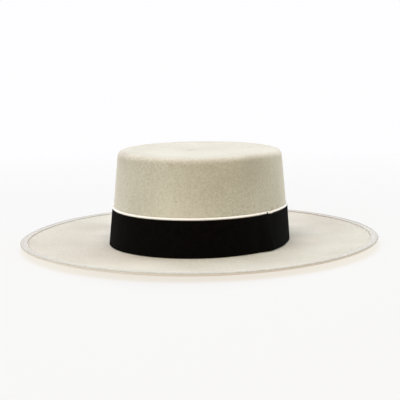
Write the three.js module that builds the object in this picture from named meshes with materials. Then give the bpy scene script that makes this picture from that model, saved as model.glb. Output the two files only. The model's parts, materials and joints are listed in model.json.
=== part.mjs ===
// A gaucho hat. One piece of felt makes the flat-topped crown and the wide brim, which rises gently to its edge. A
// black ribbon goes round the crown's foot and laps over its own end at the wearer's left, a light piping lies along
// the ribbon's top edge, and a second ribbon is folded over the brim's edge as a binding.
//
// Millimetres. +Z is up, the wearer faces -Y, and +X is the wearer's left. The origin is under the middle of the head
// oval, on the surface that the hat rests on.
import * as THREE from "three";

// Head oval, at the outside of the felt where the crown meets the brim
const HEAD_WIDTH = 172.5;
const HEAD_LENGTH = 205.5;

// Felt, and the crown's height above the brim. The crown's side leans in by the same amount all round, and its top
// sinks a little in the middle.
const FELT = 2.2;
const CROWN_HEIGHT = 89.1;
const CROWN_LEAN = 8;
const TOP_INNER_RADIUS = 3.6;
const TOP_SINK = 2;
const FOOT_RADIUS = 0.3;

// Brim, whose width is measured to the outside of the binding. Beside the crown it is level, and from there it rises,
// a little more at the wearer's sides than in front and behind.
const BRIM_WIDTH = 86.6;
const LEVEL_RING = 13;
const BRIM_RISE = 5.3;
const SIDE_RISE = 1.1;
const RISE_POWER = 2.5;

// Binding folded over the brim's edge, and how far it presses into each face of the felt
const BINDING = 0.5;
const BINDING_REACH = 7;
const EDGE_PRESS = 0.3;

// Hat band. The piping's sewn-in edge makes its top stand further out than its foot. The lap is its hem and what lies
// under it beyond the hem, and before the lap it climbs over its own end.
const RIBBON = 0.6;
const RIBBON_WIDTH = 33.9;
const RIBBON_FLARE = 0.8;
const LAP_EDGE = THREE.MathUtils.degToRad(-27);
const HEM_LENGTH = 13;
const UNDER_LAP = 12;
const LAP_CLIMB = 14;

// Piping on the hat band's top edge
const PIPING_HEIGHT = 2;
const PIPING_DEPTH = 1.6;

// Clearance between layers that lie against each other
const GAP = 0.3;

// How finely the round forms are divided
const RING_STEPS = 64;
const TOP_STEPS = 4;
const TOP_EDGE_STEPS = 4;
const FOOT_STEPS = 2;
const BRIM_STEPS = 4;
const BRIM_EDGE_STEPS = 4;
const PIPING_STEPS = 4;

// Values that follow from the sizes above
const HALF_WIDTH = HEAD_WIDTH / 2;
const HALF_LENGTH = HEAD_LENGTH / 2;
const LEAN = Math.atan2(CROWN_LEAN, CROWN_HEIGHT);
const TOP_HEIGHT = FELT + CROWN_HEIGHT;
const TOP_RADIUS = TOP_INNER_RADIUS + FELT;
const EDGE_FELT = FELT - 2 * EDGE_PRESS;
const LEVEL_END = HALF_WIDTH + LEVEL_RING;
const BRIM_EDGE = HALF_WIDTH + BRIM_WIDTH;
const BINDING_START = BRIM_EDGE - BINDING_REACH;

// The half section through the wearer's left is drawn with x out from the axis and y up. These are the directions up
// the crown's side and out of it, and the centres of its rounded top edge, its foot and the brim's edge.
const UP_SIDE = new THREE.Vector2(-Math.sin(LEAN), Math.cos(LEAN));
const OUT_OF_SIDE = new THREE.Vector2(Math.cos(LEAN), Math.sin(LEAN));
const TOP_CENTRE = new THREE.Vector2(
  HALF_WIDTH - (TOP_RADIUS + (CROWN_HEIGHT - TOP_RADIUS) * Math.sin(LEAN)) / Math.cos(LEAN),
  TOP_HEIGHT - TOP_RADIUS,
);
const FOOT_CENTRE = new THREE.Vector2(
  HALF_WIDTH + (FOOT_RADIUS * (1 - Math.sin(LEAN))) / Math.cos(LEAN),
  FELT + FOOT_RADIUS,
);
const EDGE_OUT = BRIM_EDGE - BINDING - GAP - EDGE_FELT / 2;
const EDGE_CENTRE = new THREE.Vector2(EDGE_OUT, brimMiddle(EDGE_OUT));

// Where a section's point stands round the hat. Inside the head oval the rings are ovals that close in on the centre,
// and outside it they keep an even distance from the head oval, as a brim is cut.
function ovalPoint(point, angle) {
  const across = new THREE.Vector2(Math.cos(angle), Math.sin(angle));
  const stretch = (HALF_LENGTH - HALF_WIDTH) * Math.min(1, point.x / TOP_CENTRE.x);
  const inside = Math.min(point.x, HALF_WIDTH);
  const normal = new THREE.Vector2(HALF_LENGTH * across.x, HALF_WIDTH * across.y).normalize();
  return new THREE.Vector3(
    inside * across.x + (point.x - inside) * normal.x,
    (inside + stretch) * across.y + (point.x - inside) * normal.y,
    point.y + SIDE_RISE * riseShare(point.x) * across.x ** 2,
  );
}

// Evenly spaced numbers from one value to another, both included
function steps(from, to, count) {
  return Array.from({ length: count + 1 }, (_, i) => THREE.MathUtils.lerp(from, to, i / count));
}

function arc(centre, radius, from, to, count) {
  return steps(from, to, count).map(
    (angle) => new THREE.Vector2(centre.x + radius * Math.cos(angle), centre.y + radius * Math.sin(angle)),
  );
}

// How much of its whole rise the brim has made, and the height of the middle of its felt
function riseShare(out) {
  return Math.max(0, (out - LEVEL_END) / (BRIM_EDGE - LEVEL_END)) ** RISE_POWER;
}

function brimMiddle(out) {
  return FELT / 2 + BRIM_RISE * riseShare(out);
}

// A line in the brim, at a height above the felt's middle, or below it
function brimLine(from, to, above, count) {
  return steps(from, to, count).map((out) => new THREE.Vector2(out, brimMiddle(out) + above));
}

// Arc round the brim's edge, from its lower face to its upper one
function edgeArc(radius) {
  return arc(EDGE_CENTRE, radius, -Math.PI / 2, Math.PI / 2, BRIM_EDGE_STEPS);
}

// A face of the crown, from the middle of its top to the brim, at a depth below the felt's outer face
function crownFace(depth) {
  const top = steps(0, TOP_CENTRE.x, TOP_STEPS).map((out) => {
    const sink = TOP_SINK * (1 - (out / TOP_CENTRE.x) ** 2) ** 2;
    return new THREE.Vector2(out, TOP_HEIGHT - depth - sink);
  });
  return [
    ...top.slice(0, -1),
    ...arc(TOP_CENTRE, TOP_RADIUS - depth, Math.PI / 2, LEAN, TOP_EDGE_STEPS),
    ...arc(FOOT_CENTRE, FOOT_RADIUS + depth, Math.PI + LEAN, 1.5 * Math.PI, FOOT_STEPS),
  ];
}

// A face of the brim's felt, from the end of the level ring to the edge's arc. Under the binding it is pressed in.
function brimFace(side) {
  const pressed = BINDING_START - GAP;
  return [
    ...brimLine(LEVEL_END, pressed, (side * FELT) / 2, BRIM_STEPS),
    brimLine(pressed, pressed, (side * EDGE_FELT) / 2, 1)[0],
  ];
}

// Every section runs so that its solid is on its left: the felt's goes down inside the crown, out under the brim, round
// its edge and back over the brim and the crown
function feltSection() {
  return [
    ...crownFace(FELT),
    ...brimFace(-1),
    ...edgeArc(EDGE_FELT / 2),
    ...brimFace(1).reverse(),
    ...crownFace(0).reverse(),
  ];
}

// The binding's section: a strip folded round the felt's edge
function bindingSection() {
  const inner = EDGE_FELT / 2 + GAP;
  const outer = inner + BINDING;
  const end = (above) => brimLine(BINDING_START, BINDING_START, above, 1)[0];
  return [end(-outer), ...edgeArc(outer), end(outer), end(inner), ...edgeArc(inner).reverse(), end(-inner)];
}

// A point beside the crown: how far out from the felt, and how far up its side from the top of the foot's curve
function sidePoint(out, up) {
  return FOOT_CENTRE.clone()
    .addScaledVector(OUT_OF_SIDE, out - FOOT_RADIUS)
    .addScaledVector(UP_SIDE, up);
}

// The ribbon's section, with the foot of its inner face at a distance from the felt
function ribbonSection(out, thick) {
  const top = out + RIBBON_FLARE;
  return [
    sidePoint(out, 0),
    sidePoint(out + thick, 0),
    sidePoint(top + thick, RIBBON_WIDTH),
    sidePoint(top, RIBBON_WIDTH),
  ];
}

// The piping's section: a half-round bead with its flat face against the crown
function pipingSection() {
  const middle = RIBBON_WIDTH + GAP + PIPING_HEIGHT / 2;
  return steps(-Math.PI / 2, Math.PI / 2, PIPING_STEPS).map((angle) =>
    sidePoint(GAP + PIPING_DEPTH * Math.cos(angle), middle + (PIPING_HEIGHT / 2) * Math.sin(angle)),
  );
}

// Joins closed loops of points, all alike in number, into one skin. A strip that doesn't come back to its start is
// closed by a fan at each end.
function skin(loops, endless) {
  const size = loops[0].length;
  const corner = (loop, i) => (loop % loops.length) * size + (i % size);
  const faces = [];
  const last = loops.length - 1;
  for (let loop = 0; loop < (endless ? loops.length : last); loop++) {
    for (let i = 0; i < size; i++) {
      const [a, b] = [corner(loop, i), corner(loop + 1, i)];
      const [c, d] = [corner(loop + 1, i + 1), corner(loop, i + 1)];
      faces.push(a, b, c, a, c, d);
    }
  }
  for (let i = 1; !endless && i < size - 1; i++) {
    faces.push(corner(0, 0), corner(0, i), corner(0, i + 1));
    faces.push(corner(last, 0), corner(last, i + 1), corner(last, i));
  }
  const geometry = new THREE.BufferGeometry().setFromPoints(loops.flat());
  geometry.setIndex(faces);
  geometry.computeVertexNormals();
  return geometry;
}

// A section carried all the way round the head oval
function ovalRing(section) {
  const angles = steps(0, 2 * Math.PI, RING_STEPS).slice(0, -1);
  return skin(
    angles.map((angle) => section.map((point) => ovalPoint(point, angle))),
    true,
  );
}

// A section that starts and ends on the axis, turned on a lathe and then drawn out from a circle to the head oval
function ovalLathe(section) {
  const geometry = new THREE.LatheGeometry(section, RING_STEPS).rotateX(Math.PI / 2);
  const place = geometry.getAttribute("position");
  for (let i = 0; i < place.count; i++) {
    const [x, y] = [place.getX(i), place.getY(i)];
    const moved = ovalPoint(new THREE.Vector2(Math.hypot(x, y), place.getZ(i)), Math.atan2(y, x));
    place.setXYZ(i, moved.x, moved.y, moved.z);
  }
  geometry.computeVertexNormals();
  return geometry;
}

// The hat band starts under its lap, goes once round and ends over its start, with its hem folded to the inside. Each
// row gives the angle round the hat, how far the ribbon's inner face is out from the felt, and how thick it is there.
function hatBand() {
  const round = 2 * Math.PI;
  const turn = (length) => length / Math.hypot(HALF_WIDTH * Math.sin(LAP_EDGE), HALF_LENGTH * Math.cos(LAP_EDGE));
  const lap = HEM_LENGTH + UNDER_LAP;
  const end = LAP_EDGE + round;
  const over = GAP + RIBBON + GAP;
  const rows = [
    { angle: LAP_EDGE - turn(lap), out: GAP, thick: RIBBON },
    { angle: end - turn(lap + LAP_CLIMB), out: GAP, thick: RIBBON },
    { angle: end - turn(lap + GAP), out: over, thick: RIBBON },
    { angle: end - turn(HEM_LENGTH), out: over, thick: RIBBON },
    { angle: end - turn(HEM_LENGTH - RIBBON), out: over, thick: 2 * RIBBON },
    { angle: end, out: over, thick: 2 * RIBBON },
  ];
  // The ribbon has the felt's own steps, and both layers of the lap have the same ones, so that they lie parallel
  const step = round / RING_STEPS;
  const marks = rows.flatMap((row) => [row.angle - round, row.angle, row.angle + round]);
  const grid = steps(-round, 2 * round, 3 * RING_STEPS).filter((angle) =>
    marks.every((mark) => Math.abs(mark - angle) > step / 50),
  );
  const angles = [...grid, ...marks]
    .filter((angle) => angle >= rows[0].angle && angle <= end)
    .sort((a, b) => a - b);
  return skin(
    angles.map((angle) => {
      const next = Math.max(
        1,
        rows.findIndex((row) => row.angle >= angle),
      );
      const [from, to] = [rows[next - 1], rows[next]];
      const share = (angle - from.angle) / (to.angle - from.angle);
      const out = THREE.MathUtils.lerp(from.out, to.out, share);
      const thick = THREE.MathUtils.lerp(from.thick, to.thick, share);
      return ribbonSection(out, thick).map((point) => ovalPoint(point, angle));
    }),
    false,
  );
}

// A named piece with its own material, in the colour and roughness given
function piece(name, geometry, color, roughness) {
  const material = new THREE.MeshStandardMaterial({ color, roughness, metalness: 0 });
  const mesh = new THREE.Mesh(geometry, material);
  mesh.name = name;
  return mesh;
}

const hat = new THREE.Group();
hat.add(
  piece("felt_body", ovalLathe(feltSection()), 0xe4ddcc, 0.95),
  piece("brim_binding", ovalRing(bindingSection()), 0xe6e3da, 0.7),
  piece("hat_band", hatBand(), 0x0f0d0e, 0.75),
  piece("band_piping", ovalRing(pipingSection()), 0xf6f1e4, 0.6),
);

export default hat;
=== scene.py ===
# The looks of a gaucho hat: ivory felt, a ribbed black ribbon that laps, white piping and a stitched binding
import json
import math

import bpy
import numpy as np
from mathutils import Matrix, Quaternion, Vector

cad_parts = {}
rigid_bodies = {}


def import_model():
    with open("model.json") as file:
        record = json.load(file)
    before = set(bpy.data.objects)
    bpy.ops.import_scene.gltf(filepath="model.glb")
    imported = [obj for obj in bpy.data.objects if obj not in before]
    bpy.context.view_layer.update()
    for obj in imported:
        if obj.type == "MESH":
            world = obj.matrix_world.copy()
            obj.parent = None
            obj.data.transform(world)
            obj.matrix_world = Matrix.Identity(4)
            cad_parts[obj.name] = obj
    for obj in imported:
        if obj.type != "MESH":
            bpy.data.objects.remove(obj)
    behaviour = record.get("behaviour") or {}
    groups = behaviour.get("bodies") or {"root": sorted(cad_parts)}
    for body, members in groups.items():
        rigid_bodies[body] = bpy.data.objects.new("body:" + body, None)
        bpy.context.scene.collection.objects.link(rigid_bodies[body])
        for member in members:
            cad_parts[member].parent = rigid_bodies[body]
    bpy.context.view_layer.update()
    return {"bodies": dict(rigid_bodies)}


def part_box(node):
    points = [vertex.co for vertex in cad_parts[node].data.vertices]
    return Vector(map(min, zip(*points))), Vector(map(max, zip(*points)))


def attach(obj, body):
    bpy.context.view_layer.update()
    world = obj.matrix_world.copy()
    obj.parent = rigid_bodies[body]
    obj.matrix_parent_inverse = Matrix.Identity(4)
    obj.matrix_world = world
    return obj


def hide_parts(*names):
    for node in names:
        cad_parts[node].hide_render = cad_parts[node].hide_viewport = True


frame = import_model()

MM = 0.001
ROUND = 2 * math.pi
BODY = next(iter(frame["bodies"]))

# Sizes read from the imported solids
TOP_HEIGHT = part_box("felt_body")[1].z
BRIM_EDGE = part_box("brim_binding")[1].x

# Sizes that the solids are made from: the head oval, the felt and the gaps between layers
HALF_WIDTH = 86.25 * MM
HALF_LENGTH = 102.75 * MM
FELT = 2.2 * MM
CROWN_HEIGHT = TOP_HEIGHT - FELT
CROWN_LEAN = 8 * MM
LEAN = math.atan2(CROWN_LEAN, CROWN_HEIGHT)
TOP_RADIUS = 5.8 * MM
TOP_SINK = 2 * MM
FOOT_RADIUS = 0.3 * MM
LEVEL_RING = 13 * MM
BRIM_RISE = 5.3 * MM
SIDE_RISE = 1.1 * MM
RISE_POWER = 2.5
GAP = 0.3 * MM

# The ribbons lie closer to the felt than the solids, which keep a wider gap
TIGHT_GAP = 0.1 * MM

# Binding ribbon, folded over the brim's edge, and its stitches
BINDING = 0.5 * MM
BINDING_REACH = 7 * MM
EDGE_FELT = 1.6 * MM
BINDING_INNER = EDGE_FELT / 2 + TIGHT_GAP
BINDING_OUTER = EDGE_FELT / 2 + TIGHT_GAP + BINDING
BINDING_RIB = 1.05 * MM
BINDING_RIB_DEPTH = 0.05 * MM
STITCH_PITCH = 2.7 * MM
STITCH_RADIUS = 0.17 * MM
STITCH_INSET = 1.5 * MM
STITCH_LIFT = 0.04 * MM
STITCH_REACH = 0.42

# Hat band, its ribs and its lap at the wearer's left
RIBBON = 0.6 * MM
RIBBON_WIDTH = 33.9 * MM
RIBBON_FLARE = 0.6 * MM
BAND_RIB = 0.85 * MM
BAND_RIB_DEPTH = 0.09 * MM
EDGE_BEAD = 0.3 * MM
SELVEDGE = 0.7 * MM
LAP_EDGE = math.radians(-25.2)
HEM_LENGTH = 13 * MM
HEM_FOLD = 0.7 * MM
UNDER_LAP = 12 * MM
LAP = HEM_LENGTH + UNDER_LAP
LAP_CLIMB = 14 * MM
LAP_SLANT = 4 * MM
LAP_LIFT = 0.3 * MM
CORNER_LIFT = 2.0 * MM
CORNER_LENGTH = 1.6 * MM
UNDER_DIP = 0.5 * MM
DIP_PLACE = 6 * MM
DIP_LENGTH = 4.5 * MM

# How far the band's lower edge stands off the crown at the lap's end, and near the wearer's right
LAP_STAND = 3.2 * MM
STAND_BEFORE = 21 * MM
STAND_AFTER = 46 * MM
FOOT_STAND = 1.6 * MM
FOOT_STAND_TURN = math.radians(222)
FOOT_STAND_SPREAD = math.radians(25)

# Piping on the band's upper edge
PIPING_HEIGHT = 2 * MM
PIPING_DEPTH = 1.6 * MM

# How fine the meshes are: rows of points round the hat or along a ribbon's rib, and points across
FELT_ROWS = 336
PIPING_ROWS = 1200
BINDING_ROWS_A_RIB = 3
BAND_ROWS_A_RIB = 4
STITCH_RINGS = 7
STITCH_SIDES = 6

# Camera, fitted to the outlines in the photo: angles in degrees, its distance and aim, and its lens in pixels
CAMERA_AZIMUTH = 15.11
CAMERA_ELEVATION = 8.02
CAMERA_DISTANCE = 1.0442
CAMERA_AIM = 41.1 * MM
CAMERA_SIDE = -0.5 * MM
CAMERA_ROLL = -0.45
LENS_PIXELS = 1061.8
IMAGE_PIXELS = 400
SENSOR = 36

# Light from all round, in front of the hat and behind it, and what the eye sees there
ROOM_FRONT = (0.42, 0.32, 0.13)
ROOM_BACK = (0.66, 0.75, 0.90)
ROOM_SEEN = (0.99, 0.985, 1.0)

# Soft lights: name, place to the right, behind and above in metres, size in metres, watts, and colour
LAMPS = [
    ("over_back", (-0.1, 0.6, 1.5), 1.2, 17, (0.83, 0.86, 1.0)),
    ("over_front", (-0.1, -0.4, 1.6), 1.2, 12.9, (1.0, 0.74, 0.72)),
    ("left_front", (-1.2, -1.4, 0.9), 1.0, 11.3, (0.76, 1.0, 1.0)),
    ("right", (1.6, 0.3, 0.8), 1.0, 6, (0.60, 1.0, 0.95)),
]

# The floor glows as a light table does, which leaves only a faint warm shadow under the hat. It looks
# brighter than the light that it gives, and it reflects little.
FLOOR_SEEN = (0.85, 0.79, 0.71)
FLOOR_GLOW = (0.66, 0.49, 0.32)
FLOOR_CLOTH = (0.066, 0.108, 0.158)
FLOOR_RADIUS = 3

# The soft shadow painted into the floor's glow before the hat: its colour, where its middle is to the right
# and
#  to the front, its half sizes, and the shares of them between which it fades out
FLOOR_PAINTED_SHADOW = (0.80, 0.735, 0.655)
SHADE_SIDE = 0.008
SHADE_FRONT = 0.03
SHADE_SIZE = (0.125, 0.175, 1.0)
SHADE_FADE = (0.8, 1.2)

# The floor fades into the white round it, between two distances from a place in front of the hat
FADE_FRONT = 0.3
FADE_START = 0.5
FADE_END = 1.3

# Values that follow from the sizes above
UP_SIDE = np.array([-math.sin(LEAN), math.cos(LEAN)])
OUT_OF_SIDE = np.array([math.cos(LEAN), math.sin(LEAN)])
TOP_CENTRE = np.array([
    HALF_WIDTH - (TOP_RADIUS + (CROWN_HEIGHT - TOP_RADIUS) * math.sin(LEAN)) / math.cos(LEAN),
    TOP_HEIGHT - TOP_RADIUS,
])
FOOT_CENTRE = np.array([
    HALF_WIDTH + FOOT_RADIUS * (1 - math.sin(LEAN)) / math.cos(LEAN),
    FELT + FOOT_RADIUS,
])
LEVEL_END = HALF_WIDTH + LEVEL_RING
LEVEL_SHARE = LEVEL_RING / HALF_WIDTH
BINDING_START = BRIM_EDGE - BINDING_REACH
EDGE_OUT = BRIM_EDGE - BINDING - TIGHT_GAP - EDGE_FELT / 2


# Shapes in section, as the solids have them: x is out from the axis at the wearer's left, y is up


def arc(centre, radius, start, end, count):
    turn = np.linspace(start, end, count)
    return np.stack([centre[0] + radius * np.cos(turn), centre[1] + radius * np.sin(turn)], -1)


def line(start, end, count):
    share = np.linspace(0, 1, count)[:, None]
    return np.asarray(start) * (1 - share) + np.asarray(end) * share


def rise_share(out):
    return np.clip((out - LEVEL_END) / (BRIM_EDGE - LEVEL_END), 0, None) ** RISE_POWER


def brim_middle(out):
    return FELT / 2 + BRIM_RISE * rise_share(out)


def brim_line(start, end, above, count):
    out = np.linspace(start, end, count)
    return np.stack([out, brim_middle(out) + above], -1)


def edge_arc(radius, count):
    centre = (EDGE_OUT, brim_middle(EDGE_OUT))
    return arc(centre, radius, -math.pi / 2, math.pi / 2, count)


def side_point(out, up):
    """A point beside the crown: its distance from the felt, and from the foot's curve up the crown's side."""
    out, up = np.broadcast_arrays(out, up)
    return FOOT_CENTRE + (out - FOOT_RADIUS)[..., None] * OUT_OF_SIDE + up[..., None] * UP_SIDE


def crown_face(depth, fine):
    """A face of the crown from the middle of its top to the brim, at a depth below the felt's outer face."""
    out = np.linspace(0, TOP_CENTRE[0], 20 * fine)
    sink = TOP_SINK * (1 - (out / TOP_CENTRE[0]) ** 2) ** 2
    top = np.stack([out, TOP_HEIGHT - depth - sink], -1)
    edge = arc(TOP_CENTRE, TOP_RADIUS - depth, math.pi / 2, LEAN, 4 * fine)
    foot = arc(FOOT_CENTRE, FOOT_RADIUS + depth, math.pi + LEAN, 1.5 * math.pi, 2 * fine + 1)
    side = line(edge[-1], foot[0], 14 * fine)[1:-1]
    return np.concatenate([top[:-1], edge, side, foot])


def brim_face(side, fine):
    """A face of the brim's felt, from the foot's curve to the binding, under which it is pressed in."""
    pressed = BINDING_START + 0.05 * MM
    face = brim_line(FOOT_CENTRE[0], pressed, side * FELT / 2, 16 * fine)[1:]
    rounded = brim_line(pressed + 0.1 * MM, pressed + 0.3 * MM, side * EDGE_FELT / 2, 2)
    return np.concatenate([face, rounded])


# Slight unevenness of blocked felt, which every layer follows. The columns are the number of waves round
# the hat, the change in phase for each metre up or out, the phase, and the share of the whole.
CROWN_WAVES = [
    (2, 9, 0.4, 0.35),
    (3, -20, 2.1, 0.3),
    (5, 31, 4.0, 0.2),
    (8, -44, 1.2, 0.15),
]
BRIM_WAVES = [
    (0, 0, -1.57, 0.4),
    (1, 0, 2.88, 0.6),
    (2, 4, -1.94, 0.35),
    (3, -5, 2.43, 0.4),
    (4, 6, 2.7, 0.25),
]
CROWN_UNEVEN = 0.3 * MM
BRIM_UNEVEN = 1.2 * MM

# The crown's top stands a little lower at the wearer's left
CROWN_TILT = 0.6 * MM

# The brim's edge sags a little at the wearer's right
SAG = 0.9 * MM
SAG_TURN = math.radians(182)
SAG_SPREAD = math.radians(17)

# The rim of the crown's top stands a little higher at places: the angle and spread in degrees, and the
# height. It starts between two shares of the way out, and falls off fast down the crown's side.
RIM_RISES = [
    (-134, 16, 1.1 * MM),
    (-32, 24, 1.3 * MM),
]
RIM_START = (0.5, 0.85)
RIM_POWER = 8


def smooth_step(value, low, high):
    share = np.clip((value - low) / (high - low), 0, 1)
    return share * share * (3 - 2 * share)


def waves(angle, other, table):
    return sum(share * np.sin(turns * angle + rate * other + phase) for turns, rate, phase, share in table)


def worn(points):
    """The points moved by the slight unevenness that the felt has, and every layer with it."""
    x, y, z = points[..., 0], points[..., 1], points[..., 2]
    angle = np.arctan2(y / HALF_LENGTH, x / HALF_WIDTH)
    far = np.hypot(x / HALF_WIDTH, y / HALF_LENGTH)
    height = np.clip((z - FELT) / CROWN_HEIGHT, 0, 1)
    beside = np.clip((far - 0.5) * 4, 0, 1) * height
    swell = 1 + CROWN_UNEVEN * beside * waves(angle, z, CROWN_WAVES) / HALF_WIDTH
    reach = np.clip(far - 1, 0, None)
    free = np.clip((reach - LEVEL_SHARE) / (1 - LEVEL_SHARE), 0, None)
    sag = SAG * np.exp(-((angle % ROUND - SAG_TURN) / SAG_SPREAD) ** 2)
    rise = free ** RISE_POWER * (BRIM_UNEVEN * waves(angle, reach * HALF_WIDTH, BRIM_WAVES) - sag)
    rise -= np.where(far < 1, CROWN_TILT * height ** 2 * x / HALF_WIDTH, 0)
    turn = np.degrees(angle)
    rim = sum(high * np.exp(-((turn - place) / spread) ** 2) for place, spread, high in RIM_RISES)
    rise += rim * height ** RIM_POWER * smooth_step(far, *RIM_START)
    return np.stack([x * swell, y * swell, z + rise], -1)


def head_oval(section, angles):
    """Carries a section round the head oval, as an array of angles by points by x, y and z."""
    section = np.broadcast_to(section, (len(angles),) + np.shape(section)[-2:])
    out, z = section[..., 0], section[..., 1]
    across, along = np.cos(angles)[:, None], np.sin(angles)[:, None]
    stretch = (HALF_LENGTH - HALF_WIDTH) * np.clip(out / TOP_CENTRE[0], None, 1)
    inside = np.minimum(out, HALF_WIDTH)
    normal = np.hypot(HALF_LENGTH * across, HALF_WIDTH * along)
    x = inside * across + (out - inside) * HALF_LENGTH * across / normal
    y = (inside + stretch) * along + (out - inside) * HALF_WIDTH * along / normal
    return worn(np.stack([x, y, z + SIDE_RISE * rise_share(out) * across ** 2], -1))


def path_lengths(path):
    """The length of the way along a path of points, to each of them."""
    steps = np.linalg.norm(np.diff(path, axis=0), axis=1)
    return np.concatenate([[0], np.cumsum(steps)])


def oval_lengths(out, count=7200):
    """Angles round the head oval and the length of the way to them, at a distance out in the section."""
    angles = np.linspace(0, ROUND, count + 1)
    return angles, path_lengths(head_oval(np.array([[out, FELT]]), angles)[:, 0])


# Meshes


def ring_faces(rows, size, endless, closed=True):
    """Four-sided faces between rows of points. Endless rows come back to the first, closed ones are loops."""
    row = np.arange(rows if endless else rows - 1)[:, None]
    point = np.arange(size if closed else size - 1)[None]
    after, beyond = (row + 1) % rows, (point + 1) % size
    corners = [row * size + point, after * size + point, after * size + beyond, row * size + beyond]
    return np.stack(corners, -1).reshape(-1, 4).tolist()


def new_piece(name, points, faces, material, replaces=()):
    """A smooth mesh that rides with the hat, and stands for the nodes that it replaces."""
    mesh = bpy.data.meshes.new(name)
    mesh.from_pydata(np.asarray(points).reshape(-1, 3).tolist(), [], faces)
    mesh.polygons.foreach_set("use_smooth", [True] * len(mesh.polygons))
    mesh.materials.append(material)
    mesh.update()
    piece = bpy.data.objects.new(name, mesh)
    bpy.context.scene.collection.objects.link(piece)
    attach(piece, BODY)
    if replaces:
        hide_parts(*replaces)
    return piece


def add_lengths(piece, along, across):
    """Keeps each point's place along and across its ribbon, for the ribbon's material."""
    for name, values in (("along", along), ("across", across)):
        field = piece.data.attributes.new(name, "FLOAT", "POINT")
        field.data.foreach_set("value", np.asarray(values, np.float32).ravel())


# Materials


class Nodes:
    """A material's nodes. Calling it adds a node, whose inputs are given as values or as nodes' outputs."""

    def __init__(self, name):
        self.material = bpy.data.materials.new(name)
        self.material.use_nodes = True
        self.tree = self.material.node_tree
        self.shader = self.tree.nodes["Principled BSDF"]
        self.place = self("TexCoord").outputs["Object"]

    def __call__(self, kind, inputs=None, **settings):
        node = self.tree.nodes.new("ShaderNode" + kind)
        for key, value in settings.items():
            setattr(node, key, value)
        self.fill(node, inputs or {})
        return node

    def fill(self, node, inputs):
        for key, value in inputs.items():
            if isinstance(value, bpy.types.NodeSocket):
                self.tree.links.new(value, node.inputs[key])
            else:
                node.inputs[key].default_value = value

    def math(self, operation, *values):
        return self("Math", dict(enumerate(values)), operation=operation).outputs[0]

    def times(self, first, second):
        return self.math("MULTIPLY", first, second)

    def plus(self, first, second):
        return self.math("ADD", first, second)

    def noise(self, scale, detail=3, roughness=0.5):
        inputs = {"Vector": self.place, "Scale": scale, "Detail": detail, "Roughness": roughness}
        return self("TexNoise", inputs).outputs["Fac"]

    def attribute(self, name):
        return self("Attribute", attribute_name=name).outputs["Fac"]

    def spread(self, value, low, high, to_low=0.0, to_high=1.0):
        """The value's stretch from low to high, spread smoothly over another."""
        inputs = {"Value": value, "From Min": low, "From Max": high, "To Min": to_low, "To Max": to_high}
        return self("MapRange", inputs, interpolation_type="SMOOTHSTEP").outputs["Result"]

    def mix(self, factor, first, second):
        node = self("Mix", data_type="RGBA")
        self.fill(node, {0: factor, 6: first, 7: second})
        return node.outputs[2]

    def distance(self, spot):
        return self("VectorMath", {0: self.place, 1: spot}, operation="DISTANCE").outputs["Value"]

    def near(self, spot, inner, outer):
        """One at a spot on the hat, falling to nothing between two distances from it."""
        return self.spread(self.distance(spot), inner, outer, 1.0, 0.0)

    def bump(self, height, depth, strength=1.0, below=None):
        inputs = {"Height": height, "Distance": depth, "Strength": strength}
        if below is not None:
            inputs["Normal"] = below
        return self("Bump", inputs).outputs["Normal"]


def colour(red, green, blue):
    return (red, green, blue, 1.0)


def on_crown(turn, height):
    """A place on the crown's side, at an angle in degrees and a height in millimetres."""
    up = (height * MM - FOOT_CENTRE[1]) / math.cos(LEAN)
    return tuple(head_oval(side_point(0, up)[None], np.radians([turn]))[0, 0])


# Colours of the felt: its mottling, its patches of painted shade and painted light, and its fibres and stain
FELT_DARK = colour(0.515, 0.485, 0.40)
FELT_LIGHT = colour(0.645, 0.627, 0.54)
PAINTED_SHADE_PATCH = colour(0.44, 0.41, 0.34)
PAINTED_LIGHT_PATCH = colour(0.76, 0.72, 0.62)
FIBRE_BROWN = colour(0.12, 0.075, 0.045)
STAIN_BROWN = colour(0.42, 0.30, 0.20)

# Dark fibres and specks on the crown's side, as angle in degrees, height and radius in millimetres
SPECKS = [
    (-87.3, 53.2, 0.75),
    (-78.7, 42.5, 0.6),
    (-36.3, 45.9, 0.6),
    (-39.3, 53.4, 0.55),
    (-68.2, 81.5, 0.45),
    (-48.5, 51.2, 0.4),
    (-55.6, 41.9, 0.45),
    (-81.9, 85.6, 0.45),
]

# A faint brownish stain just above the piping, past the lap, in the same columns
STAINS = [
    (-19.4, 39.5, 4.0),
    (-12.7, 40.0, 3.4),
]

# Soft patches of painted light and shade on the felt: place and radius in millimetres, and share, below
# nothing where darker
LIGHT_AND_SHADE_PATCHES = [
    (-104, 24, 3, 26, 0.35),
    (-94, -24, 3, 20, 0.3),
    (74, 106, 3, 28, 0.55),
    (95, 18, 3, 28, 0.6),
    (-136, 45, 4, 44, -0.4),
    (101, 124, 4, 42, -0.25),
    (-19, -141, 4, 48, 0.35),
    (93, -93, 4, 48, -0.2),
    (0, -103, 36, 52, 0.45),
    (20, -96, 78, 40, -0.2),
    (66, -57, 79, 32, -0.35),
    (-56, -62, 87, 18, -0.3),
    (83, -4, 62, 34, 0.3),
    (10, -30, 91, 70, 0.25),
    (62, 12, 91, 46, 0.4),
    (-12, 10, 89, 12, -0.55),
    (-22, 12, 89, 26, -0.2),
]


def felt_ground(make, mottle):
    """The felt's own colour of clouds, mottling and grain, with soft patches of painted light and shade over
    them.
    """
    tone = make.plus(make.times(make.noise(22, 2), 0.25), make.times(mottle, 0.25))
    tone = make.plus(tone, make.times(make.noise(700, 2, 0.6), 0.5))
    ground = make.mix(make.spread(tone, 0.38, 0.62), FELT_DARK, FELT_LIGHT)
    # Each patch is painted light where its share is above nothing, and painted shade where it is below
    for x, y, z, radius, share in LIGHT_AND_SHADE_PATCHES:
        painted_patch = make.times(make.near((x * MM, y * MM, z * MM), 0, radius * MM), abs(share))
        ground = make.mix(painted_patch, ground, PAINTED_LIGHT_PATCH if share > 0 else PAINTED_SHADE_PATCH)
    return ground


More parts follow.
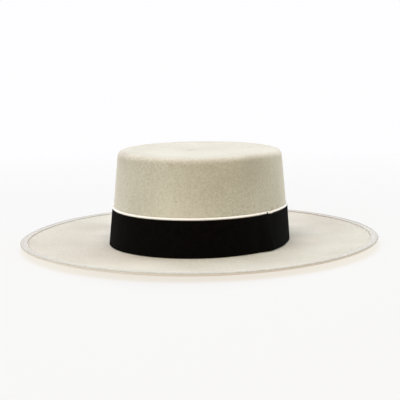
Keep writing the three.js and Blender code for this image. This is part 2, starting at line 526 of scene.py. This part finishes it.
def felt_marks(make):
    """Dark fibres: stray ones in a few cells of a coarse grid, and the specks that show on the crown."""
    cells = make("TexVoronoi", {"Vector": make.place, "Scale": 75.0})
    rare = make.math("GREATER_THAN", make("SeparateColor", {0: cells.outputs["Color"]}).outputs[0], 0.86)
    stray = make.times(rare, make.spread(cells.outputs["Distance"], 0.012, 0.035, 1.0, 0.0))
    marks = make.times(stray, 0.5)
    for turn, height, radius in SPECKS:
        speck = make.near(on_crown(turn, height), 0.3 * radius * MM, radius * MM)
        marks = make.math("MAXIMUM", marks, make.times(speck, 0.85))
    return marks


def felt_material():
    """Ivory felt: soft patches of painted light and shade, mottling, a grain of matted fibres, a few dark
    ones and a faint stain.
    """
    make = Nodes("ivory_felt")
    mottle = make.noise(330, 3, 0.6)
    marked = make.mix(felt_marks(make), felt_ground(make, mottle), FIBRE_BROWN)
    stain = 0.0
    for turn, height, radius in STAINS:
        stain = make.math("MAXIMUM", make.near(on_crown(turn, height), 0, radius * MM), stain)
    soft = make.bump(mottle, 0.5 * MM, 0.35)
    make.fill(make.shader, {
        "Base Color": make.mix(make.times(stain, 0.6), marked, STAIN_BROWN),
        "Roughness": 0.95,
        "Specular IOR Level": 0.2,
        "Sheen Weight": 0.6,
        "Sheen Roughness": 0.35,
        "Sheen Tint": colour(1.0, 0.98, 0.93),
        "Normal": make.bump(make.noise(1500, 5, 0.75), 0.35 * MM, 0.5, soft),
    })
    return make.material


# Colours of the ribbons: their dye, and the binding's strips of painted light and painted shade
BAND_DARK = colour(0.0010, 0.0006, 0.0007)
BAND_LIGHT = colour(0.0024, 0.0015, 0.0016)
BINDING_DARK = colour(0.51, 0.50, 0.45)
BINDING_LIGHT = colour(0.60, 0.595, 0.54)
BINDING_PAINTED_LIGHT = colour(0.88, 0.85, 0.82)
BINDING_PAINTED_SHADE = colour(0.36, 0.345, 0.31)
RIBBON_THREAD = 0.24 * MM

# The way to the side of the hat where the binding's outer strip of painted shade is darkest, and where that
# starts
PAINTED_SHADE_WAY = (-0.26, 0.97, 0)
PAINTED_SHADE_START = (0.02, 0.08)


def ribbon_material(name, dark, light, rib, dullness, shine, sheen, strips=()):
    """Grosgrain ribbon: ribs across it, fine threads over them, a slightly uneven dye, and strips of painted
    light and shade.
    """
    make = Nodes(name)
    along, across = make.attribute("along"), make.attribute("across")
    thread = make.math("SINE", make.times(across, ROUND / RIBBON_THREAD))
    ribs = make.math("SINE", make.times(along, ROUND / rib))
    weave = make.plus(make.times(thread, 0.2), make.times(ribs, 0.25))
    shade = make.plus(make.spread(make.noise(250, 3), 0.3, 0.7), make.times(weave, 0.3))
    relief = make.plus(make.times(weave, 0.6), make.noise(2600, 2))
    dyed = make.mix(shade, dark, light)
    back = make("VectorMath", {0: make.place, 1: PAINTED_SHADE_WAY}, operation="DOT_PRODUCT").outputs["Value"]
    for low, high, soft, at_back, tone in strips:
        above = make.spread(across, low - soft, low)
        below = make.spread(across, high, high + soft, 1.0, 0.0)
        share = make.times(make.times(above, below), make.spread(back, *PAINTED_SHADE_START, *at_back))
        dyed = make.mix(share, dyed, tone)
    make.fill(make.shader, {
        "Base Color": dyed,
        "Roughness": dullness,
        "Specular IOR Level": shine,
        "Sheen Weight": sheen,
        "Sheen Roughness": 0.4,
        "Normal": make.bump(relief, 0.08 * MM, 0.6),
    })
    return make.material


def binding_painted_strips():
    """Strips along the binding: painted light on the lower half of its fold, which faces the glowing floor,
    and painted shade outside, mostly at the back.
    """
    start = EDGE_OUT - BINDING_START
    end = start + math.pi * BINDING_OUTER
    return [
        # Painted light on the lower half of the fold
        (start - 1 * MM, start + 2.9 * MM, 0.6 * MM, (1, 1), BINDING_PAINTED_LIGHT),
        # Painted shade on the outer strip, mostly at the back
        (end - 0.8 * MM, end + 2 * MM, 0.8 * MM, (0.15, 0.9), BINDING_PAINTED_SHADE),
    ]


# Colours of the piping and the thread, and a faint glow of painted light that makes the piping brighter
PIPING_DARK = colour(0.95, 0.93, 0.90)
PIPING_LIGHT = colour(0.98, 0.97, 0.95)
PIPING_PAINTED_LIGHT = colour(1.0, 0.93, 0.85)
PAINTED_LIGHT_STRENGTH = 0.18
BIAS_THREAD = 0.34 * MM
THREAD_DARK = colour(0.60, 0.57, 0.51)
THREAD_LIGHT = colour(0.78, 0.76, 0.70)


def piping_material():
    """White piping: cloth cut on the bias, with its fine threads running slantwise round the bead, and a
    faint glow of painted light.
    """
    make = Nodes("white_piping")
    along, across = make.attribute("along"), make.attribute("across")
    slants = make.plus(along, across), make.math("SUBTRACT", along, across)
    over, under = [make.math("SINE", make.times(slant, ROUND / BIAS_THREAD)) for slant in slants]
    make.fill(make.shader, {
        "Base Color": make.mix(make.noise(300, 3), PIPING_DARK, PIPING_LIGHT),
        "Roughness": 0.35,
        "Specular IOR Level": 0.8,
        "Sheen Weight": 0.5,
        # A faint glow of painted light, brighter than the lights make the piping
        "Emission Color": PIPING_PAINTED_LIGHT,
        "Emission Strength": PAINTED_LIGHT_STRENGTH,
        "Normal": make.bump(make.times(over, under), 0.05 * MM, 0.6),
    })
    return make.material


def thread_material():
    """Sewing thread, with a fine twist."""
    make = Nodes("ivory_thread")
    twist = make.noise(3000, 2)
    make.fill(make.shader, {
        "Base Color": make.mix(twist, THREAD_DARK, THREAD_LIGHT),
        "Roughness": 0.6,
        "Sheen Weight": 0.2,
        "Normal": make.bump(twist, 0.05 * MM, 0.6),
    })
    return make.material


# The felt


# Soft marks in the crown's top: place from the middle and half sizes along and across in millimetres, the
# angle that they lie at in degrees, and their depth in millimetres
TOP_MARKS = [
    (-28, 19, 34, 9, 8, 0.45),
    (-12, 8, 4.5, 1.6, 14, 0.5),
    (30, -20, 30, 16, 40, 0.25),
]


def top_marks(points):
    """Depth of the soft marks in the crown's top."""
    depth = 0
    for x, y, long, wide, turn, deep in TOP_MARKS:
        away = points[..., :2] - np.array([x, y]) * MM
        cos, sin = math.cos(math.radians(turn)), math.sin(math.radians(turn))
        along = (away[..., 0] * cos + away[..., 1] * sin) / (long * MM)
        across = (away[..., 1] * cos - away[..., 0] * sin) / (wide * MM)
        depth = depth + deep * MM * np.exp(-(along ** 2 + across ** 2))
    return depth * smooth_step(points[..., 2], TOP_HEIGHT - 3 * FELT, TOP_HEIGHT - 2.5 * FELT)


def felt_body():
    """The crown and brim: one felt shell, closed at two points on its axis."""
    angles = np.linspace(0, ROUND, FELT_ROWS, endpoint=False)
    section = np.concatenate([
        crown_face(FELT, 2),
        brim_face(-1, 2),
        edge_arc(EDGE_FELT / 2, 7),
        brim_face(1, 3)[::-1],
        crown_face(0, 3)[::-1],
    ])
    rings = head_oval(section[1:-1], angles)
    rings[..., 2] -= top_marks(rings)
    size = rings.shape[1]
    poles = head_oval(section[[0, -1]], np.zeros(1))[0]
    poles[:, 2] -= top_marks(poles)
    faces = ring_faces(FELT_ROWS, size, True, closed=False)
    under, over = FELT_ROWS * size, FELT_ROWS * size + 1
    for i in range(FELT_ROWS):
        here, after = i * size, (i + 1) % FELT_ROWS * size
        faces.append([under, after, here])
        faces.append([over, here + size - 1, after + size - 1])
    points = np.concatenate([rings.reshape(-1, 3), poles])
    new_piece("soft_felt", points, faces, felt_material(), ["felt_body"])


# The binding of the brim and its stitches


# The binding's face in millimetres: how far it is from the ribbon's edge, and how far off its plane. The
# row of stitches pinches it.
BINDING_FACE = [
    (0, -0.35),
    (0.1, 0.28),
    (0.5, 0.33),
    (1.1, 0.16),
    (STITCH_INSET / MM, 0.0),
    (2.0, 0.1),
    (3.2, 0.08),
    (4.4, 0.04),
]
LINING_INSET = 0.2 * MM


def ribs(along, pitch, depth):
    """Height of the ribs of a grosgrain ribbon, along it."""
    return depth * np.abs(np.cos(math.pi * along / pitch))


def binding_section():
    """The closed section of the folded binding, and how much of a rib each of its points shows."""
    reach, height = np.array(BINDING_FACE).T * MM
    out = BINDING_START + reach
    upper = np.stack([out, brim_middle(out) + BINDING_OUTER + height], -1)
    lower = np.stack([out, brim_middle(out) - BINDING_OUTER - height], -1)
    outside = np.concatenate([lower, edge_arc(BINDING_OUTER, 7), upper[::-1]])
    start = BINDING_START + LINING_INSET
    ends = [brim_line(start, start, side * BINDING_INNER, 1) for side in (1, -1)]
    section = np.concatenate([outside, ends[0], edge_arc(BINDING_INNER, 5)[::-1], ends[1]])
    ribbed = np.zeros(len(section))
    ribbed[2:len(outside) - 2] = 1
    return section, ribbed


def outward(section):
    """The way out of a closed section, at each of its points."""
    before, after = np.roll(section, 1, 0), np.roll(section, -1, 0)
    facing = np.stack([(after - before)[:, 1], -(after - before)[:, 0]], -1)
    return facing / np.linalg.norm(facing, axis=1)[:, None]


def brim_binding():
    """The ribbon folded over the brim's edge, ribbed across, and pinched by its row of stitches."""
    angles, lengths = oval_lengths(BRIM_EDGE)
    count = int(lengths[-1] / BINDING_RIB)
    pitch = lengths[-1] / count
    along = np.arange(BINDING_ROWS_A_RIB * count) * pitch / BINDING_ROWS_A_RIB
    turn = np.interp(along, lengths, angles)
    section, ribbed = binding_section()
    raised = (ribs(along, pitch, BINDING_RIB_DEPTH)[:, None] - BINDING_RIB_DEPTH) * ribbed
    points = head_oval(section[None] + raised[..., None] * outward(section)[None], turn)
    painted_strips = binding_painted_strips()
    material = ribbon_material("ivory_ribbon", BINDING_DARK, BINDING_LIGHT, pitch, 0.7, 0.2, 0.2, painted_strips)
    faces = ring_faces(len(turn), len(section), True)
    piece = new_piece("bound_edge", points, faces, material, ["brim_binding"])
    add_lengths(piece, np.repeat(along, len(section)), np.tile(path_lengths(section), len(turn)))


def unit(vectors):
    return vectors / np.linalg.norm(vectors, axis=1)[:, None]


def stitch_points(at, forward, up, pitch):
    """Points of stitches, as short bent capsules that dive into the cloth at both ends."""
    sideways = np.cross(up, forward)
    share = np.linspace(-1, 1, STITCH_RINGS)
    girth = STITCH_RADIUS * np.sqrt(np.clip(1.04 - share ** 4, 0, 1))
    sink = STITCH_RADIUS * (0.5 - 2.2 * share ** 4)
    turn = np.linspace(0, ROUND, STITCH_SIDES, endpoint=False)
    step = STITCH_REACH * pitch * share
    return (
        at[:, None, None]
        + forward[:, None, None] * step[None, :, None, None]
        + up[:, None, None] * (sink[:, None] + girth[:, None] * np.sin(turn))[None, ..., None]
        - sideways[:, None, None] * (girth[:, None] * np.cos(turn))[None, ..., None]
    )


def stitch_faces(count):
    """Faces of a number of stitches, each with its two end faces."""
    block = np.array(ring_faces(STITCH_RINGS, STITCH_SIDES, False))
    size = STITCH_RINGS * STITCH_SIDES
    faces = (block[None] + size * np.arange(count)[:, None, None]).reshape(-1, 4).tolist()
    for start in range(0, count * size, size):
        faces.append(list(range(start, start + STITCH_SIDES))[::-1])
        faces.append(list(range(start + size - STITCH_SIDES, start + size)))
    return [face[::-1] for face in faces]


def stitch_row(name, path, up, material):
    """A row of stitches on a path of points, on cloth that faces one way all along it."""
    lengths = path_lengths(path)
    count = int(lengths[-1] / STITCH_PITCH)
    middle = (np.arange(count) + 0.5) * lengths[-1] / count
    at = np.stack([np.interp(middle, lengths, path[:, i]) for i in range(3)], -1)
    ahead = np.stack([np.interp(middle + 0.1 * STITCH_PITCH, lengths, path[:, i]) for i in range(3)], -1)
    facing = np.tile(up, (count, 1))
    points = stitch_points(at, unit(ahead - at), facing, STITCH_PITCH)
    new_piece(name, points, stitch_faces(count), material)


def binding_stitches():
    """Stitches through the binding, a row on the brim's upper face and one under it."""
    thread = thread_material()
    angles = np.linspace(0, ROUND, 1440)
    out = BINDING_START + STITCH_INSET
    for name, side in (("stitches_over", 1), ("stitches_under", -1)):
        height = brim_middle(out) + side * (BINDING_OUTER + STITCH_LIFT)
        path = head_oval(np.array([[out, height]]), angles)[:, 0]
        stitch_row(name, path, [0.0, 0.0, float(side)], thread)


# The hat band and its piping


# Points across the band, as shares of its width: on the outer face, close together at the two selvedges, and
# back over the inner face. The first two lists are in millimetres of a band of the listed width.
LISTED_WIDTH = 33.5
EDGE_SHARES = np.array([0, 0.25, 0.55, 1.0]) / LISTED_WIDTH
MIDDLE_SHARES = np.array([4, 9, 15, 21, 27, 30.5]) / LISTED_WIDTH
OUTER_SHARES = np.concatenate([EDGE_SHARES, MIDDLE_SHARES, 1 - EDGE_SHARES[::-1]])
INNER_SHARES = np.array([0.97, 0.66, 0.33, 0.03])


def past_lap(angles):
    """The way from the lap's end to angles round the crown's foot, less than nothing before it."""
    speed = math.hypot(HALF_WIDTH * math.sin(LAP_EDGE), HALF_LENGTH * math.cos(LAP_EDGE))
    return (np.mod(angles - LAP_EDGE + math.pi, ROUND) - math.pi) * speed


def edge_dip(angles):
    """How far the band's upper edge and the piping dip below their level just past the lap."""
    return UNDER_DIP * np.exp(-((past_lap(angles) - DIP_PLACE) / DIP_LENGTH) ** 2)


def lower_stand(angles):
    """How far the band's lower edge stands off the crown."""
    past = past_lap(angles)
    by_lap = LAP_STAND * smooth_step(past, -STAND_BEFORE, 0) * smooth_step(-past, -STAND_AFTER, 0)
    return by_lap + FOOT_STAND * np.exp(-((angles % ROUND - FOOT_STAND_TURN) / FOOT_STAND_SPREAD) ** 2)


def band_layers(left, length):
    """By the length left to the band's end: how far its inner face is from the felt, and how thick it is."""
    over = TIGHT_GAP + RIBBON + TIGHT_GAP
    table = np.array([
        (0, over + RIBBON, 0.15 * RIBBON),
        (0.25 * HEM_FOLD, over + 0.35 * RIBBON, 1.3 * RIBBON),
        (HEM_FOLD, over, 2 * RIBBON),
        (HEM_LENGTH - 3 * MM, over, 2 * RIBBON),
        (HEM_LENGTH + 4 * MM, over, RIBBON),
        (LAP + GAP, over, RIBBON),
        (LAP + LAP_CLIMB, TIGHT_GAP, RIBBON),
        (length, TIGHT_GAP, RIBBON),
    ])
    return np.interp(left, table[:, 0], table[:, 1]), np.interp(left, table[:, 0], table[:, 2])


def band_section(along, thick):
    """How far the band's points are from its inner face, and how far up its width they are."""
    edge = np.minimum(OUTER_SHARES, 1 - OUTER_SHARES) * RIBBON_WIDTH
    bead = np.sqrt(np.clip(1 - (1 - np.clip(edge / EDGE_BEAD, 0, 1)) ** 2, 0, 1))
    ribbed = smooth_step(edge, EDGE_BEAD, SELVEDGE)
    relief = ribs(along, BAND_RIB, 1)[:, None] * ribbed - ribbed
    face = thick[:, None] * (0.5 + 0.5 * bead) + BAND_RIB_DEPTH * relief
    inner_edge = np.minimum(INNER_SHARES, 1 - INNER_SHARES) * RIBBON_WIDTH
    back = thick[:, None] * (0.5 - 0.5 * np.clip(inner_edge / EDGE_BEAD, 0, 1))
    return np.concatenate([face, back], 1), np.concatenate([OUTER_SHARES, INNER_SHARES]) * RIBBON_WIDTH


def lap_form(left, turn, up):
    """How far the band's points shift along it, and how high they are, by its slanted end, corner and dip."""
    slant = LAP_SLANT * smooth_step(-left, -2.5 * HEM_LENGTH, 0)
    shift = slant[:, None] * (0.5 - up / RIBBON_WIDTH)
    lift = LAP_LIFT * smooth_step(-left, -2 * HEM_LENGTH, 0)[:, None] * up / RIBBON_WIDTH
    corner = CORNER_LIFT * smooth_step(-left, -CORNER_LENGTH, -0.3 * MM)
    tall = smooth_step(up, 0.93 * RIBBON_WIDTH, RIBBON_WIDTH)
    dip = edge_dip(turn)[:, None] * np.where(left[:, None] > 2 * LAP, 1, 0) * (up / RIBBON_WIDTH)
    return shift, up[None] + lift + corner[:, None] * tall - dip


def hat_band():
    """The ribbed ribbon: it starts under its lap, goes once round and ends over its start in a folded hem."""
    angles, lengths = oval_lengths(HALF_WIDTH)
    whole = lengths[-1]
    end = np.interp(LAP_EDGE % ROUND, angles, lengths) + whole
    start = end - whole - LAP
    along = np.linspace(start, end, int((end - start) / BAND_RIB) * BAND_ROWS_A_RIB + 1)
    turn = np.interp(along % whole, lengths, angles)
    out, thick = band_layers(end - along, end - start)
    depth, up = band_section(along - start, thick)
    shift, above = lap_form(end - along, turn, up)
    flare = RIBBON_FLARE * up / RIBBON_WIDTH
    stand = lower_stand(turn)[:, None] * (1 - up / RIBBON_WIDTH)
    sections = side_point(out[:, None] + flare + stand + depth, above)
    rows, size = sections.shape[:2]
    points = np.empty((rows, size, 3))
    for column in range(size):
        place = np.interp((along + shift[:, column]) % whole, lengths, angles)
        points[:, column] = head_oval(sections[:, column:column + 1], place)[:, 0]
    faces = ring_faces(rows, size, False)
    faces.append(list(range(size)))
    faces.append(list(range((rows - 1) * size, rows * size))[::-1])
    material = ribbon_material("black_ribbon", BAND_DARK, BAND_LIGHT, BAND_RIB, 0.75, 0.05, 0.0)
    piece = new_piece("ribbed_band", points, faces, material, ["hat_band"])
    add_lengths(piece, np.repeat(along - start, size), np.tile(up, rows))


def band_piping():
    """The bead of piping on the band's upper edge, flat against the crown."""
    angles, lengths = oval_lengths(HALF_WIDTH)
    turn = np.linspace(0, ROUND, PIPING_ROWS, endpoint=False)
    along = np.interp(turn, angles, lengths)
    around = np.linspace(-math.pi / 2, math.pi / 2, 11)
    middle = RIBBON_WIDTH + GAP + PIPING_HEIGHT / 2
    out = GAP + PIPING_DEPTH * np.cos(around)
    up = middle + PIPING_HEIGHT / 2 * np.sin(around)
    sections = side_point(np.broadcast_to(out, (PIPING_ROWS, len(out))), up[None] - edge_dip(turn)[:, None])
    faces = ring_faces(PIPING_ROWS, len(out), True)
    points = head_oval(sections, turn)
    piece = new_piece("white_piping", points, faces, piping_material(), ["band_piping"])
    add_lengths(piece, np.repeat(along, len(out)), np.tile(around * PIPING_HEIGHT / 2, PIPING_ROWS))


# Stage, light and camera


def studio(side, behind, height):
    """A place given from the camera's side: to the right, behind the hat, and up."""
    turn = math.radians(CAMERA_AZIMUTH)
    return Vector((
        side * math.cos(turn) - behind * math.sin(turn),
        side * math.sin(turn) + behind * math.cos(turn),
        height,
    ))


def soft_light(name, where, size, watts, tint):
    """A square soft light that shines at the hat and isn't seen itself."""
    place = studio(*where)
    lamp = bpy.data.lights.new(name, "AREA")
    lamp.shape = "SQUARE"
    lamp.size = size
    lamp.energy = watts
    lamp.color = tint
    light = bpy.data.objects.new(name, lamp)
    light.location = place
    light.rotation_euler = (Vector((0, 0, CAMERA_AIM)) - place).to_track_quat("-Z", "Y").to_euler()
    light.visible_camera = False
    bpy.context.scene.collection.objects.link(light)


def floor_material():
    """A pale glowing cloth, with a soft shadow painted into its glow before the hat, and a rim that fades
    out.
    """
    make = Nodes("pale_floor")
    seen = make("LightPath").outputs["Is Camera Ray"]
    middle = studio(SHADE_SIDE, -SHADE_FRONT, 0)
    from_shade = make("VectorMath", {0: make.place, 1: middle}, operation="SUBTRACT").outputs[0]
    shares = make("VectorMath", {0: from_shade, 1: SHADE_SIZE}, operation="DIVIDE").outputs[0]
    far = make("VectorMath", {0: shares}, operation="LENGTH").outputs["Value"]
    # The painted shadow before the hat, in the glow that the eye sees
    painted_shadow = make.spread(far, *SHADE_FADE, 1.0, 0.0)
    make.fill(make.shader, {
        "Base Color": colour(*FLOOR_CLOTH),
        "Roughness": 1.0,
        "Specular IOR Level": 0.0,
        "Emission Color": make.mix(
            seen,
            colour(*FLOOR_GLOW),
            make.mix(painted_shadow, colour(*FLOOR_SEEN), colour(*FLOOR_PAINTED_SHADOW)),
        ),
        "Emission Strength": 1.0,
    })
    fade = make("MixShader", {
        0: make.spread(make.distance(studio(0, -FADE_FRONT, 0)), FADE_START, FADE_END),
        1: make.shader.outputs[0],
        2: make("BsdfTransparent").outputs[0],
    })
    make.tree.links.new(fade.outputs[0], make.tree.nodes["Material Output"].inputs["Surface"])
    return make.material


def floor():
    """A pale round floor whose rim fades into the white round it."""
    bpy.ops.mesh.primitive_circle_add(vertices=96, radius=FLOOR_RADIUS, fill_type="NGON")
    disc = bpy.context.object
    disc.name = "pale_floor"
    disc.data.materials.append(floor_material())


def surroundings():
    """White all round to the eye, and a dimmer light on the hat, warm from the front and cool from behind."""
    world = bpy.data.worlds.new("white_studio")
    bpy.context.scene.world = world
    world.use_nodes = True
    tree = world.node_tree
    seen = tree.nodes["Background"]
    seen.inputs["Color"].default_value = colour(*ROOM_SEEN)
    lit = tree.nodes.new("ShaderNodeBackground")
    way = tree.nodes.new("ShaderNodeTexCoord")
    behind = tree.nodes.new("ShaderNodeVectorMath")
    behind.operation = "DOT_PRODUCT"
    behind.inputs[1].default_value = studio(0, 1, 0)
    share = tree.nodes.new("ShaderNodeMapRange")
    share.inputs["From Min"].default_value = -1
    room = tree.nodes.new("ShaderNodeMix")
    room.data_type = "RGBA"
    room.inputs[6].default_value = colour(*ROOM_FRONT)
    room.inputs[7].default_value = colour(*ROOM_BACK)
    ray = tree.nodes.new("ShaderNodeLightPath")
    mixed = tree.nodes.new("ShaderNodeMixShader")
    for output, socket in (
        (way.outputs["Generated"], behind.inputs[0]),
        (behind.outputs["Value"], share.inputs["Value"]),
        (share.outputs["Result"], room.inputs[0]),
        (room.outputs[2], lit.inputs["Color"]),
        (ray.outputs["Is Camera Ray"], mixed.inputs[0]),
        (lit.outputs[0], mixed.inputs[1]),
        (seen.outputs[0], mixed.inputs[2]),
        (mixed.outputs[0], tree.nodes["World Output"].inputs["Surface"]),
    ):
        tree.links.new(output, socket)


def camera():
    """The camera in front of the hat, a little above it."""
    lens = bpy.data.cameras.new("photo_camera")
    lens.sensor_width = SENSOR
    lens.lens = LENS_PIXELS / IMAGE_PIXELS * SENSOR
    lens.clip_start = 0.01
    view = bpy.data.objects.new("photo_camera", lens)
    turn, tilt = math.radians(CAMERA_AZIMUTH), math.radians(CAMERA_ELEVATION)
    back = Vector((math.sin(turn) * math.cos(tilt), -math.cos(turn) * math.cos(tilt), math.sin(tilt)))
    aim = Vector((0, 0, CAMERA_AIM)) + CAMERA_SIDE * Vector((math.cos(turn), math.sin(turn), 0))
    view.location = aim + CAMERA_DISTANCE * back
    level = (-back).to_track_quat("-Z", "Y")
    view.rotation_mode = "QUATERNION"
    view.rotation_quaternion = level @ Quaternion((0, 0, 1), math.radians(CAMERA_ROLL))
    bpy.context.scene.collection.objects.link(view)
    bpy.context.scene.camera = view


camera()
felt_body()
brim_binding()
binding_stitches()
hat_band()
band_piping()
floor()
surroundings()
for lamp in LAMPS:
    soft_light(*lamp)
bpy.context.scene.view_settings.view_transform = "Standard"
